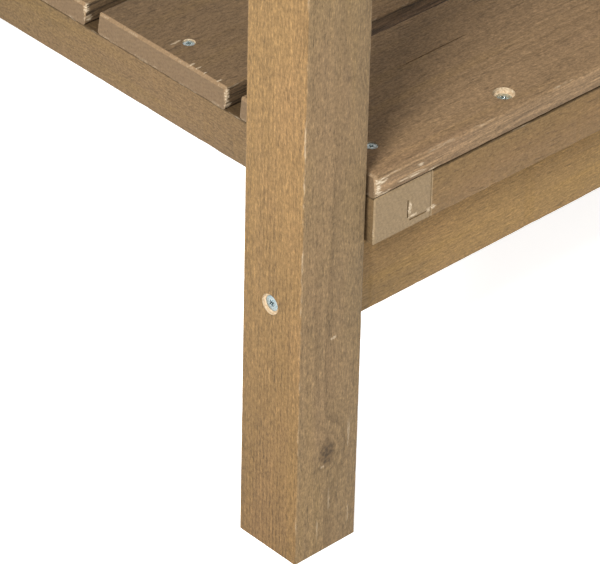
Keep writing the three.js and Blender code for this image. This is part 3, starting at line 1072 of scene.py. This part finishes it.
def random_knots(board):
    """A few knots on a board, clear of its ends."""
    rng = random.Random(board.seed * 7 + 1)
    knots = list(KNOTS.get(board.name, ()))
    section = board.section()
    narrow = min(section, key=lambda i: board.high[i] - board.low[i])
    count = 1 if board.length < SHORT_BOARD else rng.choice((2, 3, 3))
    for number in range(count):
        share = (number + rng.uniform(0.3, 0.7)) / count
        place = (board.low + board.high) / 2
        place[board.lengthways] = board.along(board.low) + board.length * share
        for i in section:
            if i != narrow:
                place[i] = board.low[i] + (board.high[i] - board.low[i]) * rng.uniform(0.2, 0.8)
        if clear_of_marks(board, place):
            knots.append(Knot(place, rng.uniform(2.5, 5.5) * MM, "xyz"[narrow]))
    return knots


def clear_of_marks(board, place):
    """Whether a random knot stays away from the corner whose marks are given one by one."""
    hand_marked = board.name in KNOTS or board.name in TORN or board.name == "front_stretcher"
    return not hand_marked or (place - CORNER).length > KNOT_FREE


def random_torn(board):
    """Small torn patches where a saw or a knock has broken a board's corners."""
    rng = random.Random(board.seed * 11 + 5)
    patches = []
    for x, y, z, *reach in TORN.get(board.name, ()):
        patches.append(Torn(from_corner(x, y, z), Vector(reach[:3]) * MM, *reach[3:]))
    for _ in range(3):
        corner = Vector([rng.choice((board.low[k], board.high[k])) for k in range(3)])
        if (corner - CORNER).length < TEAR_FREE:
            continue
        reach = Vector((2.0, 2.0, 2.0)) * MM
        reach[board.lengthways] = rng.uniform(3, 7) * MM
        patches.append(Torn(corner, reach))
    return patches


def eased_block(board):
    """The board with its long edges rounded and its sawn ends eased, cut into slices along the grain."""
    timber = bpy.context.scene.bench_timber
    block = add_block(board.name + "_board", board.low, board.high)
    shape_bracket(board, block)
    rounding, segments = rounding_of(board)
    low, high = board.along(board.low), board.along(board.high)
    middle = (board.low.z + board.high.z) / 2
    near = 1e-6

    def is_long(first, second):
        return abs(board.along(first) - board.along(second)) > 0.9 * (first - second).length

    def at_end(first, second):
        if board.lies_flat and min(first.z, second.z) < middle:
            return False
        return any(max(abs(board.along(p) - end) for p in (first, second)) < near for end in (low, high))

    chamfer = timber.slat_end if board.lies_flat else timber.end_arris
    for chosen, offset, steps in ((is_long, rounding, segments), (at_end, chamfer, 1)):
        edit_edges(block, chosen)
        bpy.ops.mesh.bevel(offset=offset, segments=steps, profile=0.5, affect="EDGES", clamp_overlap=True)
        leave_edit()
    cuts = max(1, round(math.sqrt(board.length / timber.slice_length)) - 1)
    for _ in range(2):
        edit_edges(block, is_long)
        bpy.ops.mesh.subdivide(number_cuts=cuts)
        leave_edit()
    return block


def shape_bracket(board, block):
    """Saws off the lower front of a shelf bracket, from its nose to the front of the post."""
    if "bracket" not in board.name:
        return
    nose_height = 25 * MM
    front, top = board.low.y, board.high.z
    post_front = BOX[board.name.replace("top_shelf_bracket", "back") + "_post"][0].y
    run = Vector((0, post_front - front, board.low.z - (top - nose_height)))
    activate(block)
    enter_edit()
    bpy.ops.mesh.select_all(action="SELECT")
    bpy.ops.mesh.bisect(
        plane_co=(board.low.x, front, top - nose_height),
        plane_no=Vector((0, run.z, -run.y)).normalized(),
        use_fill=True,
        clear_outer=True,
    )
    leave_edit()


def arris_measure(board, point):
    """1 on the middle of an eased edge, and 0 on the flat faces."""
    rounding, _ = rounding_of(board)
    end = bpy.context.scene.bench_timber.slat_end
    reach = [rounding if i in board.section() else end for i in range(3)]
    gaps = [min(point[i] - board.low[i], board.high[i] - point[i]) for i in range(3)]
    depths = sorted(max(0.0, gap) / size for gap, size in zip(gaps, reach))
    return max(0.0, min(1.0, (1 - depths[1]) * 1.4))


def chip_edges(board, block):
    """Sinks the eased edges here and there, never outwards; slats most."""
    timber = bpy.context.scene.bench_timber
    depth = timber.chip_depth * (1.0 if board.slot == "slat_wood" else 0.5)
    group = block.vertex_groups.new(name="arris")
    for vertex in block.data.vertices:
        weight = arris_measure(board, vertex.co)
        if weight > 0.05:
            group.add([vertex.index], weight, "REPLACE")
    texture = bpy.data.textures.new(board.name + "_chips", "CLOUDS")
    texture.noise_scale = timber.chip_size * (1 + 0.3 * (board.seed % 3))
    texture.noise_depth = 4
    texture.use_clamp = True
    texture.contrast = 4.0
    texture.intensity = 0.45
    apply_modifier(
        block,
        "DISPLACE",
        texture=texture,
        texture_coords="LOCAL",
        mid_level=0.0,
        strength=-depth,
        vertex_group="arris",
    )
    bpy.data.textures.remove(texture)
    block.vertex_groups.clear()


def crack_cutter(first, second, width, depth):
    """A thin lens along a line on the surface."""
    length = (second - first).length
    bpy.ops.mesh.primitive_uv_sphere_add(segments=16, ring_count=8, radius=0.5)
    lens = bpy.context.active_object
    turn = (second - first).to_track_quat("X", "Z").to_matrix().to_4x4()
    size = Matrix.Diagonal((length, width, depth * 2, 1))
    lens.data.transform(Matrix.Translation((first + second) / 2) @ turn @ size)
    return lens


def chip_cutters(board):
    """The cracks and torn-out chips that are cut into the boards' shapes."""
    if board.name == "shelf_slat_1":
        ends = from_corner(133.5, 67.6, 233.5), from_corner(187.0, 68.4, 233.5)
        return [crack_cutter(*ends, 0.9 * MM, 4 * MM)]
    if board.name == "shelf_end_batten_left":
        return [
            add_block("chip", from_corner(72.5, -4, 197.4), from_corner(73.3, -1.0, 208.6)),
            add_block("chip", from_corner(74.5, -4, 195.2), from_corner(87.5, -2.5, 196.2)),
        ]
    return []


def cut_board(board, block, cutters):
    """Drills the board for each screw that passes through it, and cuts its chips."""
    tools = []
    for screw in SCREWS:
        if board.name in screw.boards():
            tools.append(copy_of(cutters[screw.kind], "drill", screw.place(0)))
    for tool in chip_cutters(board):
        tool.data.materials.append(block.data.materials[0])
        tools.append(tool)
    if tools:
        tool = joined(tools)
        apply_modifier(
            block,
            "BOOLEAN",
            operation="DIFFERENCE",
            solver="EXACT",
            object=tool,
            material_mode="TRANSFER",
        )
        removed(tool)
    if len(block.data.polygons) < 100:
        raise RuntimeError(f"nothing is left of {board.name} after its holes were drilled")


def build_board(name, cutters):
    board = board_of(name)
    block = eased_block(board)
    wood = Wood(board, random_knots(board), random_torn(board)).material()
    block.data.materials.append(wood)
    chip_edges(board, block)
    cut_board(board, block, cutters)
    activate(block)
    bpy.ops.object.shade_smooth_by_angle(angle=math.radians(32))
    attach(block, "root")
    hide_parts(name)


def build_boards(names):
    """Builds boards with a fresh set of drills, which are put away afterwards."""
    cutters = hole_cutters()
    for name in names:
        build_board(name, cutters)
    for cutter in cutters.values():
        removed(cutter)


# ---------------------------------------------------------------- operators

TWIST_SEED = 41


class BoardStep:
    """A step that builds the boards whose name or finish starts with one of its words."""

    starts = ()

    def execute(self, context):
        build_boards(boards_like(*self.starts))
        return {"FINISHED"}


class BENCH_OT_legs(BoardStep, bpy.types.Operator):
    """Adds the two front legs and the two back posts"""

    bl_idname = "bench.legs"
    bl_label = "Legs and Posts"
    starts = ("leg_wood",)


class BENCH_OT_rails(BoardStep, bpy.types.Operator):
    """Adds the stretchers, aprons, side rails, bearer, brackets and upper rail"""

    bl_idname = "bench.rails"
    bl_label = "Rails"
    starts = ("rail_wood",)


class BENCH_OT_battens(BoardStep, bpy.types.Operator):
    """Adds the battens under the lower shelf"""

    bl_idname = "bench.battens"
    bl_label = "Shelf Battens"
    starts = ("batten_wood",)


class BENCH_OT_lower_slats(BoardStep, bpy.types.Operator):
    """Adds the slats of the lower shelf"""

    bl_idname = "bench.lower_slats"
    bl_label = "Lower Shelf Slats"
    starts = ("shelf_slat",)


class BENCH_OT_worktop(BoardStep, bpy.types.Operator):
    """Adds the slats of the worktop"""

    bl_idname = "bench.worktop"
    bl_label = "Worktop Slats"
    starts = ("worktop_slat",)


class BENCH_OT_back(BoardStep, bpy.types.Operator):
    """Adds the backboards and the slats of the upper shelf"""

    bl_idname = "bench.back"
    bl_label = "Back and Upper Shelf"
    starts = ("backboard", "top_shelf_slat")


class BENCH_OT_screws(bpy.types.Operator):
    """Adds every screw, each turned its own way"""

    bl_idname = "bench.screws"
    bl_label = "Screws"

    def execute(self, context):
        colours = context.scene.bench_colours
        plain_zinc = zinc_material("zinc_plate", tuple(colours.zinc))
        # The lighter zinc is painted shine, for the screws that catch less of the key light.
        bright = zinc_material("bright_zinc_plate", tuple(colours.bright_zinc))
        masters = {}
        for name, kind in SCREW_KINDS.items():
            masters[name] = screw_master(f"master_{name}", kind, bright if kind.bright else plain_zinc)
        rng = random.Random(TWIST_SEED)
        for screw in SCREWS:
            place = screw.place(rng.uniform(0, math.pi / 2))
            piece = copy_of(masters[screw.kind], screw.name + "_zinc", place)
            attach(piece, "root")
            if screw.node:
                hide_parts(screw.node)
        for master in masters.values():
            removed(master)
        return {"FINISHED"}


class BENCH_OT_stage(bpy.types.Operator):
    """Adds the pale floor, the soft lights and the camera"""

    bl_idname = "bench.stage"
    bl_label = "Stage"

    def execute(self, context):
        stage = context.scene.bench_stage
        add_floor(stage)
        add_lights(stage)
        add_camera(stage)
        return {"FINISHED"}


KEY_DIRECTION = (-2.1, -1.0, 1.75)
KEY_TARGET = (-0.25, -0.1, 0.3)
KEY_DISTANCE = 3.6
# The camera's bearing, its look down and its tilt in degrees, and its place from the corner in mm.
CAMERA_TURN = (43.688, 34.493, 1.428)
CAMERA_PLACE = (-1203.35, -1258.40, 1384.30)


def add_floor(stage):
    deselect_all()
    bpy.ops.mesh.primitive_plane_add(size=30, location=(0, 0, -0.2 * MM))
    floor = bpy.context.active_object
    floor.name = "studio_floor"
    sh = Shader("studio_floor")
    diffuse = sh.add("BsdfDiffuse", {"Color": (0.9, 0.9, 0.9, 1), "Roughness": 1.0}).outputs[0]
    glow = sh.add("Emission", {"Color": (1, 1, 1, 1), "Strength": stage.floor_glow}).outputs[0]
    both = sh.add("AddShader", {0: diffuse, 1: glow}).outputs[0]
    sh.add("OutputMaterial", {"Surface": both})
    floor.data.materials.append(sh.material)


def add_lights(stage):
    world = bpy.data.worlds.new("studio")
    bpy.context.scene.world = world
    world.use_nodes = True
    background = world.node_tree.nodes["Background"]
    background.inputs["Color"].default_value = (1, 1, 1, 1)
    background.inputs["Strength"].default_value = stage.fill
    deselect_all()
    toward = Vector(KEY_DIRECTION).normalized()
    bpy.ops.object.light_add(type="AREA", location=Vector(KEY_TARGET) + toward * KEY_DISTANCE)
    key = bpy.context.active_object
    key.name = "key_light"
    key.rotation_mode = "QUATERNION"
    key.rotation_quaternion = (-toward).to_track_quat("-Z", "Y")
    key.data.shape = "DISK"
    key.data.size = 1.1
    key.data.energy = stage.key_power
    key.data.color = (1.0, 0.985, 0.96)
    bpy.context.scene.view_settings.view_transform = "Standard"


def add_camera(stage):
    """A long lens looking down at the front left corner."""
    azimuth, pitch, roll = (math.radians(angle) for angle in CAMERA_TURN)
    flat_right = Vector((math.cos(azimuth), -math.sin(azimuth), 0))
    level = math.cos(pitch)
    forward = Vector((math.sin(azimuth) * level, math.cos(azimuth) * level, -math.sin(pitch)))
    up = flat_right.cross(forward)
    right = flat_right * math.cos(roll) + up * math.sin(roll)
    up = right.cross(forward)
    data = bpy.data.cameras.new("camera")
    camera = bpy.data.objects.new("camera", data)
    bpy.context.scene.collection.objects.link(camera)
    turn = Matrix((right, up, -forward)).transposed().to_4x4()
    camera.matrix_world = Matrix.Translation(from_corner(*CAMERA_PLACE)) @ turn
    data.sensor_width = 36
    data.lens = stage.camera_lens
    data.clip_end = 100
    bpy.context.scene.camera = camera


class BENCH_PT_panel(bpy.types.Panel):
    """Lists the steps that build the bench"""

    bl_label = "Potting Bench"
    bl_idname = "BENCH_PT_panel"
    bl_space_type = "VIEW_3D"
    bl_region_type = "UI"
    bl_category = "Bench"

    def draw(self, context):
        for operator in OPERATORS:
            self.layout.operator(operator.bl_idname)
        for group in ("bench_timber", "bench_fixings", "bench_colours", "bench_stage"):
            settings = getattr(context.scene, group)
            box = self.layout.box()
            for name in settings.bl_rna.properties.keys():
                if name not in ("rna_type", "name"):
                    box.prop(settings, name)


GROUPS = {
    "bench_timber": BenchTimber,
    "bench_fixings": BenchFixings,
    "bench_colours": BenchColours,
    "bench_stage": BenchStage,
}
OPERATORS = (
    BENCH_OT_stage,
    BENCH_OT_legs,
    BENCH_OT_rails,
    BENCH_OT_battens,
    BENCH_OT_lower_slats,
    BENCH_OT_worktop,
    BENCH_OT_back,
    BENCH_OT_screws,
)


def register():
    for cls in (*GROUPS.values(), *OPERATORS, BENCH_PT_panel):
        bpy.utils.register_class(cls)
    for name, group in GROUPS.items():
        setattr(bpy.types.Scene, name, PointerProperty(type=group))


def unregister():
    for name in GROUPS:
        delattr(bpy.types.Scene, name)
    for cls in reversed((*GROUPS.values(), *OPERATORS, BENCH_PT_panel)):
        bpy.utils.unregister_class(cls)


def main():
    register()
    bpy.ops.bench.stage()
    bpy.ops.bench.legs()
    bpy.ops.bench.rails()
    bpy.ops.bench.battens()
    bpy.ops.bench.lower_slats()
    bpy.ops.bench.worktop()
    bpy.ops.bench.back()
    bpy.ops.bench.screws()
    bpy.context.view_layer.update()


if __name__ == "__main__":
    main()
